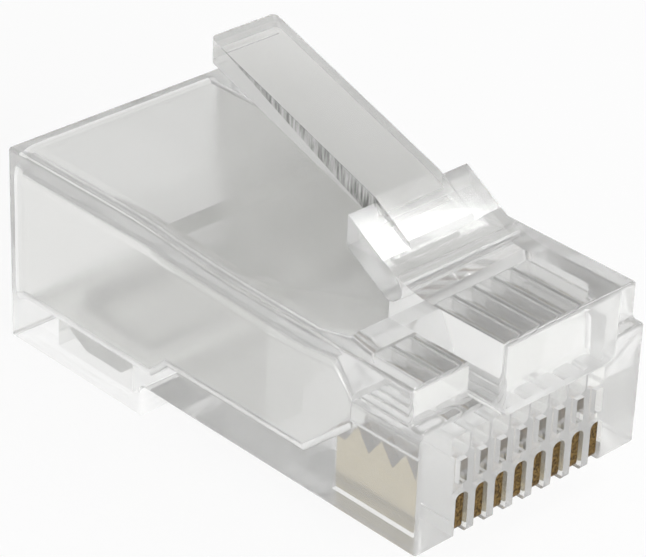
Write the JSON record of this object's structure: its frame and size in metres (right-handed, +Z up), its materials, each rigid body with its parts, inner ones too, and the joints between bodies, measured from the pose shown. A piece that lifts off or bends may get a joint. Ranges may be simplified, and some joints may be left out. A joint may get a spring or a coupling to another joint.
{
  "type": "rj45 modular plug",
  "caption": "Clear modular network plug with a sprung latch lever, an open cable cavity with an anchor bar, and plated blade contacts set in slots in its nose.",
  "frame": {"origin": "under the middle of the plug's overall length and width, on the plane of the rear section's underside", "axes": "+X from the cable end to the nose, +Y across the plug, +Z up to the latch side"},
  "size_m": [0.0242, 0.0116, 0.0147],
  "materials": {
    "clear_polycarbonate": "clear polished moulding",
    "plated_contact": "gold flash over nickel on stamped phosphor bronze"
  },
  "bodies": {
    "plug_body": {"housing": "clear_polycarbonate", "contact_1": "plated_contact", "contact_2": "plated_contact", "contact_3": "plated_contact", "contact_4": "plated_contact", "contact_5": "plated_contact", "contact_6": "plated_contact", "contact_7": "plated_contact", "contact_8": "plated_contact"},
    "latch_arm": {"latch": "clear_polycarbonate"}
  },
  "joints": [
    {"name": "latch_flex", "type": "hinge", "parent": "plug_body", "child": "latch_arm", "pos_m": [0.00635, 0, 0.00945], "axis": [0, -1, 0], "range_deg": [0, 22], "stiffness_Nm_per_rad": 0.3}
  ]
}
